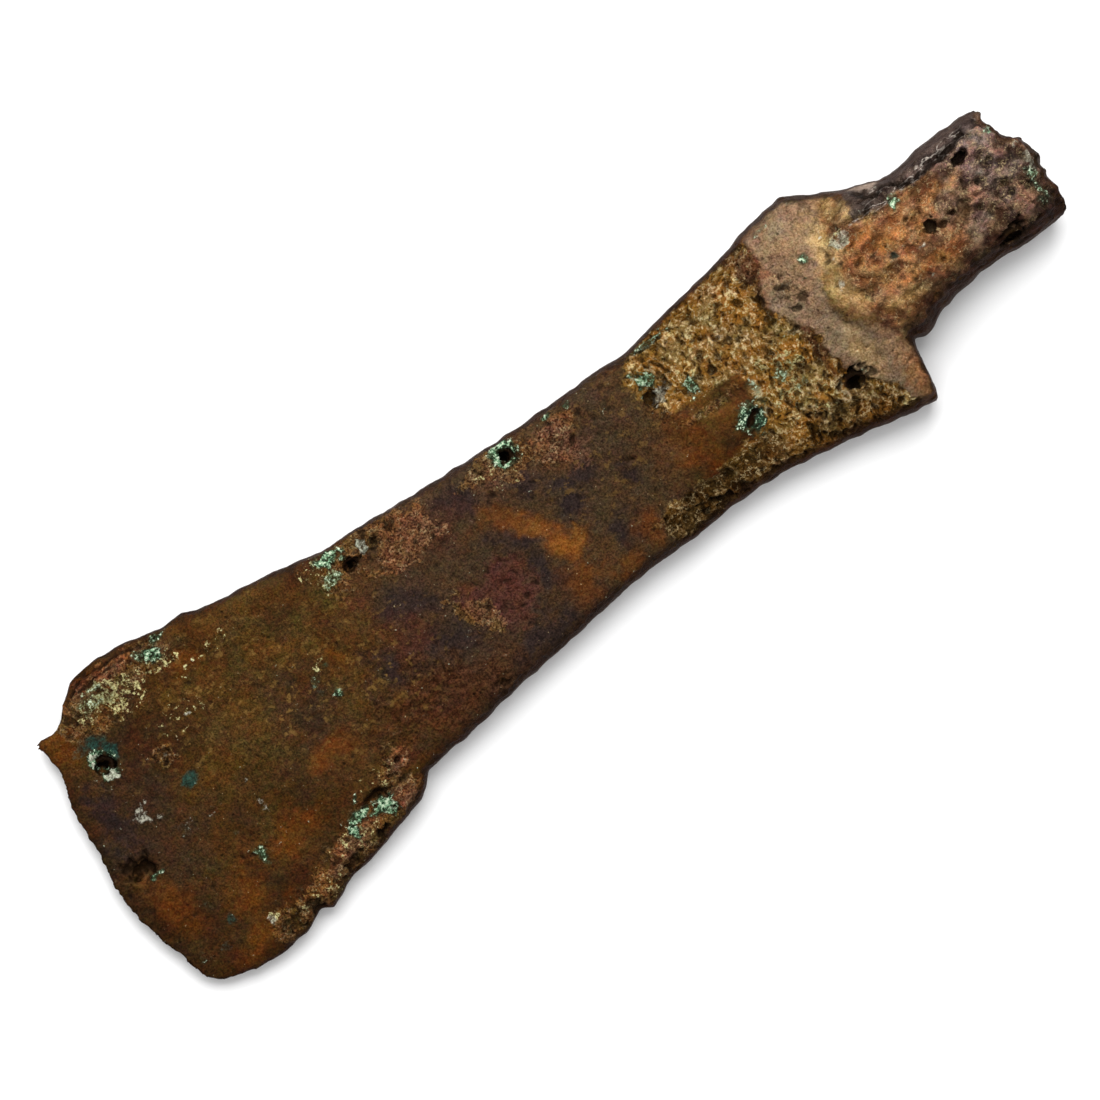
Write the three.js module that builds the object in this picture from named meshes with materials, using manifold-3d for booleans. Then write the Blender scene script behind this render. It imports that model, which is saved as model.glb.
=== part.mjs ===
// A cast bronze lugged axe head of the Bronze Age, excavated and worn, lying on its flat back.
// Sizes are in millimetres. +X runs from the cutting edge to the butt, +Z is up out of the cast
// face, and the origin is on the ground at the middle of the axe head's footprint.
import * as THREE from "three";
import { mergeVertices } from "three/addons/utils/BufferGeometryUtils.js";
import Module from "manifold-3d";

// Driving dimensions: plan
const LENGTH = 165; // foremost point of the cutting edge to the end of the butt
const TANG_LENGTH = 32.1; // lug tips to the end of the butt
const BLADE_WIDTH = 50.4; // across the flare, before its corners broke and wore away
const WAIST_WIDTH = 26.4; // the narrowest part of the blade
const UPPER_LUG_REACH = 16.5; // from the middle line to the tip of the lug on the +Y side
const LOWER_LUG_REACH = 19.2; // the same on the -Y side, where the lug is better kept
const TANG_WIDTH = 19;
const EDGE_RADIUS = 80; // of the curved cutting edge
const BUTT_RADIUS = 60; // of the worn end of the butt

// Driving dimensions: thickness
const EDGE_THICKNESS = 1.1; // the corroded cutting edge is blunt
const BLADE_THICKNESS = 7.2;
const SHOULDER_THICKNESS = 11.2; // on the middle line between the lugs
const LUG_THICKNESS = 8.2; // at the tips of the lugs
const SHOULDER_RISE = 46; // the blade thickens to its shoulder over this length
const TANG_THICKNESS = 12.4;
const BUTT_THICKNESS = 11; // the tang thins a little towards its end
const CROWN = 0.5; // the cast face is this much lower at the blade's sides than in the middle
const EDGE_TAPER = 23; // how fast the blade thickens behind the edge
const BACK_BEVEL_LENGTH = 26; // the back is ground up to the edge over this length
const BACK_BEVEL_RISE = 1.5;
const BLADE_ROUNDING = 2.1; // of the blade's long sides
const UPPER_TANG_ROUNDING = 3.4; // of the tang's long side, under the fold of skin
const LOWER_TANG_ROUNDING = 5.6;
const BUTT_ROUNDING = 2.6;
const BUTT_FACE = 0.35; // height of the blunt end of the butt, as a share of the thickness
const BACK_ROUNDING = 1.8; // where the sides turn under to the flat back
const EDGE_UNDERCUT = 1.6; // the back stops this far short of the cutting edge
const BUTT_UNDERCUT = 1.2; // and of the end of the butt
const SPALL_DEPTH = 0.75; // of the patch where the cast skin has come away

// Plan form, as shares of the blade's length or of the whole length
const BLADE_LENGTH = LENGTH - TANG_LENGTH;
const WIDEST_AT = 0.125 * BLADE_LENGTH;
const WAIST_AT = 0.745 * BLADE_LENGTH;
const FLARE_POWER = 2;
const FLARE_CORNER = 8; // how sharply the flare stops at the widest part
const LUG_POWER = 1.5;
const UPPER_LUG_BACK = { length: 13, power: 1.2 }; // a long slope down to the tang
const LOWER_LUG_BACK = { length: 3, power: 2.4 }; // the lower lug still has its steep back
const EDGE_APEX = -5; // the edge was ground askew, so its foremost point is off the middle
const BUTT_APEX = -0.5;

// Where the tang rises out of the lugs, in a rounded step
const STEP_AT = BLADE_LENGTH - 5.4;
const STEP_LENGTH = 7;
const STEP_SWEEP = 7; // how far the step runs back at the tang's sides
const TANG_SEAM = 0.36; // height of the side's widest line, as a share of the thickness
const BLADE_SEAM = 0.46;
const BUTT_SEAM = 0.5;
const END_BLEND = 2; // power by which the curved ends bend the stations near them

// Chips and swellings of the worn outline: where along the length (a share), how deep, how far
// they reach towards the butt, and how far towards the edge where that differs (lead)
const UPPER_WEAR = [
  { at: 0.043, depth: 4.8, reach: 4.4, lead: 18 }, // the broken corner, which leaves a spur
  { at: 0.13, depth: -0.8, reach: 8 },
  { at: 0.167, depth: 0.3, reach: 1.7 },
  { at: 0.19, depth: -0.75, reach: 3 },
  { at: 0.25, depth: -0.5, reach: 6 },
  { at: 0.4, depth: -0.5, reach: 28 },
  { at: 0.318, depth: 0.4, reach: 2.6 },
  { at: 0.618, depth: 0.6, reach: 5.5, lead: 2.2 },
  { at: 0.77, depth: -0.5, reach: 4 },
  { at: 0.893, depth: 1, reach: 3.2 }, // the dip beside the folded skin of the tang
  { at: 0.875, depth: -1.3, reach: 8 },
  { at: 0.95, depth: -0.5, reach: 6 },
];
const LOWER_WEAR = [
  { at: 0.006, depth: 4.8, reach: 3.2 }, // the rounded corner
  { at: 0.034, depth: 2, reach: 4.8 },
  { at: 0.08, depth: 0.5, reach: 9 },
  { at: 0.127, depth: 1.5, reach: 1.2 }, // a nick through the blade's side
  { at: 0.14, depth: -0.4, reach: 4 },
  { at: 0.167, depth: 0.7, reach: 2.4 },
  { at: 0.27, depth: 1.9, reach: 9, lead: 1 }, // the ledge at the corroded hollow
  { at: 0.37, depth: 0.7, reach: 9 },
  { at: 0.5, depth: 0.3, reach: 10 },
  { at: 0.577, depth: -0.45, reach: 5 },
  { at: 0.667, depth: 0.3, reach: 4 },
  { at: 0.775, depth: -0.3, reach: 4 },
  { at: 0.835, depth: -1.7, reach: 3 }, // the swelling behind the lower lug
  { at: 0.91, depth: 0.5, reach: 5 },
  { at: 0.955, depth: -0.4, reach: 4 },
];
// Nicks of the cutting edge and of the butt: where across (millimetres), how deep, how wide
const EDGE_WEAR = [
  { at: 21, depth: -1, reach: 2.8 }, // the spur at the broken corner
  { at: 16, depth: 1.75, reach: 5.5 },
  { at: 4, depth: 1.3, reach: 6 },
  { at: -16, depth: 1.25, reach: 6.5 }, // the worn heel
  { at: -20.5, depth: 0.6, reach: 1.8 },
  { at: -2.6, depth: 0.3, reach: 0.8 },
];
const BUTT_WEAR = [
  { at: 8, depth: 2.4, reach: 4.2 }, // the broken upper corner
  { at: 4.6, depth: 1, reach: 1.3 },
  { at: -4.4, depth: 0.9, reach: 1.8 },
  { at: -11.2, depth: 2.6, reach: 2 },
];

// Unevenness of the worn sides and face: how high and how long its waves are, in millimetres.
// Each has a second, shorter wave that never lines up with the first.
const SECOND_WAVE = 0.618;
const SECOND_START = 1.7;
const SIDE_WAVER = { height: 0.16, wave: 4.3 };
const EDGE_WAVER = { height: 0.1, wave: 2.9 };
const BUTT_WAVER = { height: 0.4, wave: 3.1 };
const FACE_WAVER = { height: 0.12, wave: 23 };
const SPALL_WAVER = { height: 0.3, wave: 3.7 };
const SPALL_BORDER = { height: 0.05, wave: 5 };
const SPALL_SKEW = 0.4; // how far the lumps of the lost skin's patch slant
const FOLD_WAVER = { height: 0.5, wave: 11 };

// The patch of lost skin on the cast face: three soft ovals, as shares of the length and of the
// half width of the waist, with the oval's half sizes in millimetres
const SPALL = [
  { along: 0.7, across: 0.45, halfLength: 12.5, halfWidth: 9.5 },
  { along: 0.735, across: -0.5, halfLength: 9.5, halfWidth: 10.5 },
  { along: 0.645, across: -0.85, halfLength: 13, halfWidth: 3.6 },
];
const SPALL_STEP = 0.28; // how sharp the patch's border is

// Corrosion pits big enough to see from a step away, placed as shares of the length and of the
// half width there, with their width, length and depth in millimetres
const PITS = [
  { along: 0.0585, across: 0.555, width: 2.3, length: 2.6, depth: 1.7 },
  { along: 0.032, across: -0.14, width: 2.6, length: 4.2, depth: 0.9 },
  { along: 0.329, across: 0.77, width: 1.6, length: 2.4, depth: 1.6 },
  { along: 0.224, across: -0.76, width: 2.6, length: 6.4, depth: 1.2 },
  { along: 0.4875, across: 0.83, width: 2.0, length: 2.0, depth: 1.8 },
  { along: 0.616, across: 0.42, width: 2.4, length: 2.8, depth: 1.4 },
  { along: 0.676, across: -0.4, width: 2.2, length: 3.6, depth: 1.0 },
  { along: 0.759, across: -0.58, width: 2.0, length: 2.6, depth: 1.6 },
  { along: 0.889, across: 0.03, width: 1.8, length: 1.6, depth: 1.0 },
  { along: 0.943, across: 0.54, width: 1.3, length: 2.2, depth: 1.3 },
  { along: 0.938, across: -0.84, width: 2.2, length: 4.0, depth: 0.9 },
];

// The fold of skin along the tang's upper side: an open groove under a lip
const FOLD_START = BLADE_LENGTH + 6;
const FOLD_END = LENGTH - 5;
const FOLD_FADE = 4; // length over which each end of the groove runs out
const FOLD_INSET = 2.5; // from the tang's side
const FOLD_WIDTH = 0.7;
const FOLD_DEPTH = 0.55;

// Mesh fineness
const STATIONS = 114;
const WEIGHED = 2000; // short lengths that the stations are spread over by weight
const CLOSER = [ // where stations are closer together: how much, around where, how far from it
  { more: 0.8, at: 0, reach: 8 }, // the blade thins to its edge
  { more: 1, at: BLADE_LENGTH + 2, reach: 7 }, // the lugs
  { more: 2, at: BLADE_LENGTH + 1, reach: 1.8 }, // the steep back of the lower lug
  { more: 1.5, at: LENGTH, reach: 3 }, // the butt rounds over
];
const ROUND_COLUMNS = 4; // over each rounded side of the cast face
const TOP_COLUMNS = 18; // over the cast face between them
const BACK_COLUMNS = 6; // over the flat back
const BACK_CURVE = 0.3; // a column this share of the way over the rounded rim of the back
const PIT_SEGMENTS = 10;

const { abs, cos, exp, hypot, max, min, PI, sin, sqrt } = Math;
const { clamp, lerp, smoothstep } = THREE.MathUtils;

const wear = (list, x, scale) =>
  list.reduce((sum, { at, depth, reach, lead = reach }) => {
    const off = x - at * scale;
    return sum + depth * exp(-((off / (off > 0 ? reach : lead)) ** 2));
  }, 0);

// Two waves that never line up, for hammered and corroded surfaces.
function waver(t, { height, wave }) {
  const turn = (2 * PI * t) / wave;
  return (height / 2) * (sin(turn) + sin(turn / SECOND_WAVE + SECOND_START));
}

// How far the side lies from the middle line, d millimetres behind the foremost point.
function sideReach(d, { lugReach, lugBack, list, seed }) {
  const waist = WAIST_WIDTH / 2;
  const tang = TANG_WIDTH / 2;
  let reach;
  if (d < WAIST_AT) {
    const flare = max(0, (WAIST_AT - d) / (WAIST_AT - WIDEST_AT)) ** FLARE_POWER;
    const held = flare / (1 + flare ** FLARE_CORNER) ** (1 / FLARE_CORNER);
    reach = waist + (BLADE_WIDTH / 2 - waist) * held;
  } else {
    const rise = min(1, (d - WAIST_AT) / (BLADE_LENGTH - WAIST_AT)) ** LUG_POWER;
    const past = clamp((d - BLADE_LENGTH) / lugBack.length, 0, 1);
    const back = sin((past * PI) / 2) ** lugBack.power;
    reach = lerp(waist + (lugReach - waist) * rise, tang, back);
  }
  return reach - wear(list, d, LENGTH) + waver(d + seed, SIDE_WAVER);
}

const UPPER = { lugReach: UPPER_LUG_REACH, lugBack: UPPER_LUG_BACK, list: UPPER_WEAR, seed: 0 };
const LOWER = { lugReach: LOWER_LUG_REACH, lugBack: LOWER_LUG_BACK, list: LOWER_WEAR, seed: 9 };
const sides = (d) => ({ high: sideReach(d, UPPER), low: -sideReach(d, LOWER) });

// How far the cutting edge and the butt stand back from the two ends of the length, at y.
const edgeSetBack = (y) =>
  (y - EDGE_APEX) ** 2 / (2 * EDGE_RADIUS) + wear(EDGE_WEAR, y, 1) + waver(y, EDGE_WAVER);
const buttSetBack = (y) =>
  (y - BUTT_APEX) ** 2 / (2 * BUTT_RADIUS) + wear(BUTT_WEAR, y, 1) + waver(y, BUTT_WAVER);

// The point of the plan at station s (0 at the edge, 1 at the butt) and column c (-1 to 1), on
// the cast face or, with under at 1, on the back.
function plan(s, c, under) {
  const rough = sides(s * LENGTH);
  const y0 = lerp(rough.low, rough.high, (c + 1) / 2);
  const nearEdge = max(0, 1 - (s * LENGTH) / WIDEST_AT) ** END_BLEND;
  const nearButt = max(0, 1 - ((1 - s) * LENGTH) / (TANG_LENGTH / 2)) ** END_BLEND;
  const fromEdge = edgeSetBack(y0) + under * EDGE_UNDERCUT;
  const fromButt = buttSetBack(y0) + under * BUTT_UNDERCUT;
  const d = s * LENGTH + nearEdge * fromEdge - nearButt * fromButt;
  const { high, low } = sides(d);
  return { d, y: lerp(low, high, (c + 1) / 2), high, low };
}

// 0 on the blade and lugs, 1 on the tang, with the step's rounded front.
function tangShare(d, y) {
  const front = STEP_AT + STEP_SWEEP * (y / (TANG_WIDTH / 2)) ** 2;
  return smoothstep(d, front, front + STEP_LENGTH);
}

// How much of the cast skin is lost at a point, from 0 to 1.
function spallShare(d, y) {
  const cover = max(
    ...SPALL.map(({ along, across, halfLength, halfWidth }) => {
      const dx = (d - along * LENGTH) / halfLength;
      const dy = (y - (across * WAIST_WIDTH) / 2) / halfWidth;
      return 1 - hypot(dx, dy);
    }),
  );
  return smoothstep(cover + waver(d + 2 * y, SPALL_BORDER), -SPALL_STEP / 2, SPALL_STEP / 2);
}

function foldGroove(d, y, high) {
  const ends =
    smoothstep(d, FOLD_START, FOLD_START + FOLD_FADE) *
    (1 - smoothstep(d, FOLD_END - FOLD_FADE, FOLD_END));
  const line = high - FOLD_INSET - waver(d, FOLD_WAVER);
  return ends * FOLD_DEPTH * exp(-(((y - line) / FOLD_WIDTH) ** 2));
}

// Height of a rounded side: 0 at the rim, 1 once it is a rounding away from it.
const roundOver = (distance, rounding) =>
  sqrt(1 - (1 - clamp(distance / rounding, 0, 1)) ** 2);

// The rounding of one long side, which grows where the tang rises out of the lugs.
const sideRounding = (tang, upper) =>
  lerp(BLADE_ROUNDING, upper ? UPPER_TANG_ROUNDING : LOWER_TANG_ROUNDING, tang);

// Heights of the cast face, the widest line and the back at a point of the plan.
function heights({ d, y, high, low }) {
  const edge = max(0, d - edgeSetBack(y));
  const tang = tangShare(d, y);
  const across = (2 * y) / (high - low);
  const shoulder = lerp(SHOULDER_THICKNESS, LUG_THICKNESS, across ** 2);
  const ground = lerp(EDGE_THICKNESS, BLADE_THICKNESS, 1 - exp(-edge / EDGE_TAPER));
  const bladeFull = lerp(ground, shoulder, smoothstep(d, STEP_AT - SHOULDER_RISE, STEP_AT));
  const tangFull = lerp(TANG_THICKNESS, BUTT_THICKNESS, smoothstep(d, BLADE_LENGTH, LENGTH));
  const buttRound = roundOver(LENGTH - buttSetBack(y) - d, BUTT_ROUNDING);
  const back = BACK_BEVEL_RISE * max(0, 1 - edge / BACK_BEVEL_LENGTH) ** 2;
  const full = lerp(bladeFull, tangFull - back, tang);
  const seamShare = lerp(BUTT_SEAM, lerp(BLADE_SEAM, TANG_SEAM, tang), buttRound);
  const seam = back + full * seamShare;
  const rim = min(y - low, high - y);
  const upper = high - y < y - low;
  const ends = lerp(BUTT_FACE, 1, buttRound);
  const dome = roundOver(rim, sideRounding(tang, upper)) * ends;
  const lumps = waver(d - y, SPALL_WAVER) * sin(y + SPALL_SKEW * d);
  const relief =
    waver(d + 0.6 * y, FACE_WAVER) -
    CROWN * across ** 2 -
    spallShare(d, y) * (SPALL_DEPTH + lumps) -
    foldGroove(d, y, high);
  const worked = min(1, edge / EDGE_TAPER); // the thin edge was ground smooth
  const top = max(seam, lerp(seam, back + full, dome) + relief * dome * worked);
  const under = roundOver(rim, BACK_ROUNDING) * ends;
  return { top, seam, back: lerp(seam, back, under) };
}

// Columns over the cast face at one station, from -1 to 1: a few follow each rounded side.
function topColumns(s) {
  const { high, low } = sides(s * LENGTH);
  const tang = tangShare(s * LENGTH, 0);
  const over = (upper) =>
    Array.from({ length: ROUND_COLUMNS }, (_, i) => {
      const turn = (i * PI) / (2 * ROUND_COLUMNS);
      return ((1 - cos(turn)) * 2 * sideRounding(tang, upper)) / (high - low);
    });
  const lower = over(false).map((share) => share - 1);
  const upper = over(true).map((share) => 1 - share).reverse();
  const first = (2 * sideRounding(tang, false)) / (high - low) - 1;
  const last = 1 - (2 * sideRounding(tang, true)) / (high - low);
  const between = Array.from({ length: TOP_COLUMNS + 1 }, (_, i) =>
    lerp(first, last, i / TOP_COLUMNS),
  );
  return [...lower, ...between, ...upper];
}

// Columns over the back between its two rims, from 1 to -1.
function backColumns(s) {
  const { high, low } = sides(s * LENGTH);
  const inset = (share) => 1 - (2 * share * BACK_ROUNDING) / (high - low);
  const flat = Array.from({ length: BACK_COLUMNS + 1 }, (_, i) =>
    lerp(inset(1), -inset(1), i / BACK_COLUMNS),
  );
  return [inset(BACK_CURVE), ...flat, -inset(BACK_CURVE)];
}

// One closed ring round the axe head at station s: over the cast face, then back underneath.
function ring(s) {
  const point = (c, level) => {
    const at = plan(s, c, level === "back" ? 1 : 0);
    return new THREE.Vector3(at.d, at.y, heights(at)[level]);
  };
  const top = topColumns(s).map((c) => point(c, abs(c) === 1 ? "seam" : "top"));
  const back = backColumns(s).map((c) => point(c, "back"));
  return [...top, ...back];
}

// Stations along the length, from 0 at the edge to 1 at the butt, closer together in places.
function stationList() {
  const weight = (s) =>
    CLOSER.reduce(
      (sum, { more, at, reach }) => sum + more * exp(-(((s * LENGTH - at) / reach) ** 2)),
      1,
    );
  const total = [0];
  for (let i = 0; i < WEIGHED; i += 1) total.push(total[i] + weight((i + 0.5) / WEIGHED));
  return Array.from({ length: STATIONS + 1 }, (_, k) => {
    const goal = (k / STATIONS) * total[WEIGHED];
    const i = clamp(total.findIndex((t) => t >= goal), 1, WEIGHED);
    return (i - 1 + (goal - total[i - 1]) / (total[i] - total[i - 1])) / WEIGHED;
  });
}

// A closed skin over a row of rings. The first and last ring are filled by a strip of triangles
// that zigzags between the cast face and the back.
function loft(rings) {
  const count = rings[0].length;
  const index = [];
  for (let r = 0; r < rings.length - 1; r += 1) {
    for (let i = 0; i < count; i += 1) {
      const a = r * count + i;
      const b = r * count + ((i + 1) % count);
      index.push(a, a + count, b, b, a + count, b + count);
    }
  }
  const fill = (r, turn) => {
    let over = 0;
    let under = count - 1;
    while (over + 1 < under) {
      const ahead = rings[r][over + 1].y <= rings[r][under - 1].y;
      const corners = [over, ahead ? over + 1 : under - 1, under].map((i) => r * count + i);
      index.push(...(turn ? corners.reverse() : corners));
      if (ahead) over += 1;
      else under -= 1;
    }
  };
  fill(0, false);
  fill(rings.length - 1, true);
  const geometry = new THREE.BufferGeometry().setFromPoints(rings.flat());
  return geometry.setIndex(index);
}

const wasm = await Module();
wasm.setup();

function solidOf(geometry) {
  const bare = geometry.clone();
  bare.deleteAttribute("normal");
  bare.deleteAttribute("uv");
  const merged = mergeVertices(bare, 1e-5);
  return new wasm.Manifold(
    new wasm.Mesh({
      numProp: 3,
      vertProperties: new Float32Array(merged.attributes.position.array),
      triVerts: new Uint32Array(merged.index.array),
    }),
  );
}

function geometryOf(solid) {
  const { vertProperties, triVerts } = solid.getMesh();
  return new THREE.BufferGeometry()
    .setAttribute("position", new THREE.BufferAttribute(vertProperties, 3))
    .setIndex(new THREE.BufferAttribute(triVerts, 1));
}

// The hollow of one pit: an egg sunk in the cast face by its depth.
function pitHollow({ along, across, width, length, depth }) {
  const d = along * LENGTH;
  const { high, low } = sides(d);
  const y = across > 0 ? across * high : -across * low;
  const egg = new THREE.SphereGeometry(1, PIT_SEGMENTS, PIT_SEGMENTS - 2);
  egg.rotateX(PI / 2);
  egg.scale(length / 2, width / 2, depth);
  egg.translate(d, y, heights({ d, y, high, low }).top);
  return solidOf(egg);
}

function axeHead() {
  let solid = solidOf(loft(stationList().map(ring)));
  for (const pit of PITS) solid = solid.subtract(pitHollow(pit));
  const geometry = geometryOf(solid);
  geometry.computeBoundingBox();
  const { min: lowest, max: highest } = geometry.boundingBox;
  geometry.translate(-(lowest.x + highest.x) / 2, -(lowest.y + highest.y) / 2, -lowest.z);
  const bronze = new THREE.MeshStandardMaterial({
    color: new THREE.Color(0.26, 0.15, 0.07),
    roughness: 0.5,
    metalness: 0.6,
  });
  const mesh = new THREE.Mesh(geometry, bronze);
  mesh.name = "axe_head";
  return mesh;
}

const group = new THREE.Group();
group.add(axeHead());

export default group;
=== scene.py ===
import itertools
import math

import bpy
import numpy as np
from mathutils import Euler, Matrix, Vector


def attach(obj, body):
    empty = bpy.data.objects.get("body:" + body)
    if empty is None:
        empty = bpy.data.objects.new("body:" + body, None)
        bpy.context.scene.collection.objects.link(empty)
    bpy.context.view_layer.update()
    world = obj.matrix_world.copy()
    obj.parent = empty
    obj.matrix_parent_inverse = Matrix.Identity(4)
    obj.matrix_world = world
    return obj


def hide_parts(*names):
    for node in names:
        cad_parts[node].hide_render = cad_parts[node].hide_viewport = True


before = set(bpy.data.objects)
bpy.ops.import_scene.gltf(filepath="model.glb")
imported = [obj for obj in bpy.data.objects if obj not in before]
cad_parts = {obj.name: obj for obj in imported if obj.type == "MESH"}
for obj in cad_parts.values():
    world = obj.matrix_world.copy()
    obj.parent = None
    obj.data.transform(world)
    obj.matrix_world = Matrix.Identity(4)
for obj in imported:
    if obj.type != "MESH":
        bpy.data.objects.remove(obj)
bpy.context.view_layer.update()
scene = bpy.context.scene

# Camera: straight above the lying axe head on a long lens, turned so that the butt points up and
# to the right. Pixels are those of the 1100 x 1100 photograph, with y running down.
PICTURE = 1100
MIDDLE_PIXEL = (566.8, 510.7)  # where the middle of the axe head shows
PIXELS_PER_METRE = 7167
LEAN = math.radians(38)  # the butt points this far above the picture's right
LENS = 300
SENSOR = 36
OUTLINE_HEIGHT = 0.004  # the axe head is widest at about this height

right = Vector((math.cos(LEAN), -math.sin(LEAN), 0))
above = Vector((math.sin(LEAN), math.cos(LEAN), 0))
off_right = (PICTURE / 2 - MIDDLE_PIXEL[0]) / PIXELS_PER_METRE
off_above = (MIDDLE_PIXEL[1] - PICTURE / 2) / PIXELS_PER_METRE
distance = PICTURE / PIXELS_PER_METRE * LENS / SENSOR
camera_data = bpy.data.cameras.new("camera")
camera_data.lens = LENS
camera_data.sensor_width = SENSOR
camera = bpy.data.objects.new("camera", camera_data)
camera.location = right * off_right + above * off_above + Vector((0, 0, OUTLINE_HEIGHT + distance))
camera.rotation_euler = (0, 0, -LEAN)
scene.collection.objects.link(camera)
scene.camera = camera

# Studio: a plain white floor, even light all round, and one large soft lamp beyond the folded
# skin, toward the butt, so that the far side of the tang falls into shade.
FLOOR_SIZE = 8
FLOOR_DROP = 0.0001
FLOOR_TONE = (0.95, 0.95, 0.95, 1)
ROOM_LIGHT = 0.68
LAMP_FROM = Vector((0.4, 0.72, 1.0))
LAMP_SIZE = 1.2
LAMP_POWER = 23

floor_data = bpy.data.meshes.new("floor")
corners = [(sx * FLOOR_SIZE / 2, sy * FLOOR_SIZE / 2, -FLOOR_DROP)
           for sx, sy in [(-1, -1), (1, -1), (1, 1), (-1, 1)]]
floor_data.from_pydata(corners, [], [(0, 1, 2, 3)])
floor = bpy.data.objects.new("floor", floor_data)
scene.collection.objects.link(floor)
floor_paint = bpy.data.materials.new("floor")
floor_paint.use_nodes = True
floor_paint.node_tree.nodes["Principled BSDF"].inputs["Base Color"].default_value = FLOOR_TONE
floor_paint.node_tree.nodes["Principled BSDF"].inputs["Roughness"].default_value = 0.9
floor_data.materials.append(floor_paint)

room = bpy.data.worlds.new("room")
room.use_nodes = True
room.node_tree.nodes["Background"].inputs["Color"].default_value = (1, 1, 1, 1)
room.node_tree.nodes["Background"].inputs["Strength"].default_value = ROOM_LIGHT
scene.world = room
lamp_data = bpy.data.lights.new("lamp", "AREA")
lamp_data.size = LAMP_SIZE
lamp_data.energy = LAMP_POWER
lamp = bpy.data.objects.new("lamp", lamp_data)
lamp.location = LAMP_FROM
lamp.rotation_euler = LAMP_FROM.to_track_quat("Z", "Y").to_euler()
scene.collection.objects.link(lamp)
scene.view_settings.view_transform = "Standard"

# Axe head: one tin bronze casting from a one-sided mould, hammered and ground at the edge, then
# buried. The solid's form is kept, on a mesh fine enough to carry its worn and corroded skin.
# From here on, places and heights are in millimetres.
METRES = 0.001
GRAIN_SIZE = 0.24  # spacing of the mesh that the relief is worked on
SOFTENING = 9
TRIANGLES = 195_000  # left once the flat back and the smoother skin are coarser

axe = bpy.data.objects.new("axe_head_skin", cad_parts["axe_head"].data.copy())
scene.collection.objects.link(axe)
axe.data.materials.clear()


def apply(kind, **settings):
    """Gives the axe head the mesh that one modifier makes of it."""
    modifier = axe.modifiers.new(kind, kind)
    for name, value in settings.items():
        setattr(modifier, name, value)
    graph = bpy.context.evaluated_depsgraph_get()
    made = bpy.data.meshes.new_from_object(axe.evaluated_get(graph))
    axe.modifiers.clear()
    axe.data = made


def column(values, name, width):
    """One property of all the vertices, as rows of an array."""
    row = np.empty(len(axe.data.vertices) * width, np.float32)
    values.foreach_get(name, row)
    return row.reshape(-1, width).astype(float)


def smooth(low, high, value):
    """0 below low, 1 above high, and an easy slope between them."""
    share = np.clip((value - low) / (high - low), 0, 1)
    return share * share * (3 - 2 * share)


apply("WELD", merge_threshold=1e-6)
apply("REMESH", mode="VOXEL", voxel_size=GRAIN_SIZE * METRES)
cast = column(axe.data.vertices, "co", 3) / METRES
apply("SMOOTH", factor=0.5, iterations=SOFTENING)
thin = smooth(-76, -80, cast[:, :1])
place = column(axe.data.vertices, "co", 3) / METRES * (1 - thin) + cast * thin
facing = column(axe.data.vertices, "normal", 3)
x, y, height = place.T
on_face = smooth(0.15, 0.65, facing[:, 2])
on_back = smooth(0.3, 0.9, -facing[:, 2])

# Uneven skin: the old mould's texture and centuries of corrosion, as smooth random hills of
# several sizes, and as scattered crystal grains.
CHANCE = np.random.default_rng(38)
LATTICE = 64
SLOPES = CHANCE.normal(size=(LATTICE, LATTICE, LATTICE, 3))
JITTER = CHANCE.random((LATTICE, LATTICE, LATTICE, 3))
ASKEW = np.array(Euler((0.6, 0.9, 0.4)).to_matrix())  # no row of hills lines up with the axe head
EVEN_OUT = 1.5  # brings the hills to between about -1 and 1


def hills(wave, layers=1, stretch=(1, 1, 1)):
    """Random hills between about -1 and 1, this far apart, with finer layers on top."""
    total = 0
    bent = place / (np.array(stretch) * wave)
    bent = bent + 0.5 * np.sin(1.7 * bent[:, (1, 2, 0)])
    for layer in range(layers):
        at = bent @ ASKEW * 2**layer + 31.7 * (layer + wave)
        home = np.floor(at).astype(int)
        inner = at - home
        share = inner**3 * (inner * (inner * 6 - 15) + 10)
        for corner in itertools.product((0, 1), repeat=3):
            i, j, k = ((home + corner) % LATTICE).T
            weight = np.prod(np.where(corner, share, 1 - share), axis=1)
            rise = np.einsum("ij,ij->i", inner - corner, SLOPES[i, j, k])
            total = total + weight * rise * EVEN_OUT / 2**layer
    return total


def grains(size, stretch=(1, 1, 1)):
    """Distance from the nearest and the second nearest of scattered grains of this size."""
    at = place / (np.array(stretch) * size) @ ASKEW
    home = np.floor(at).astype(int)
    nearest = np.full(len(place), 9.0)
    second = nearest.copy()
    for step in itertools.product((-1, 0, 1), repeat=3):
        i, j, k = ((home + step) % LATTICE).T
        away = np.linalg.norm(at - home - step - JITTER[i, j, k], axis=1)
        second = np.minimum(second, np.maximum(nearest, away))
        nearest = np.minimum(nearest, away)
    return nearest, second


ragged = hills(2.6, 4) + 0.7 * hills(0.8, 2)
wander_x = hills(5, 3)
wander_y = hills(5.3, 3)
swell = 0.09 * hills(9, 2)
relief = 0.05 * hills(2.3, 2) + 0.045 * hills(0.8, 2)
marks = {}


def patch(px, py, half_x, half_y, turn=0, torn=0.35, soft=0.45, wander=0):
    """1 inside a ragged oval on the cast face and 0 outside it; turn is in degrees."""
    c, s = math.cos(math.radians(turn)), math.sin(math.radians(turn))
    off_x = x - px + wander * wander_x
    off_y = y - py + wander * wander_y
    along = (off_x * c + off_y * s) / half_x
    across = (off_y * c - off_x * s) / half_y
    return smooth(1 + soft, 1 - soft, np.hypot(along, across) + torn * ragged) * on_face


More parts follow.
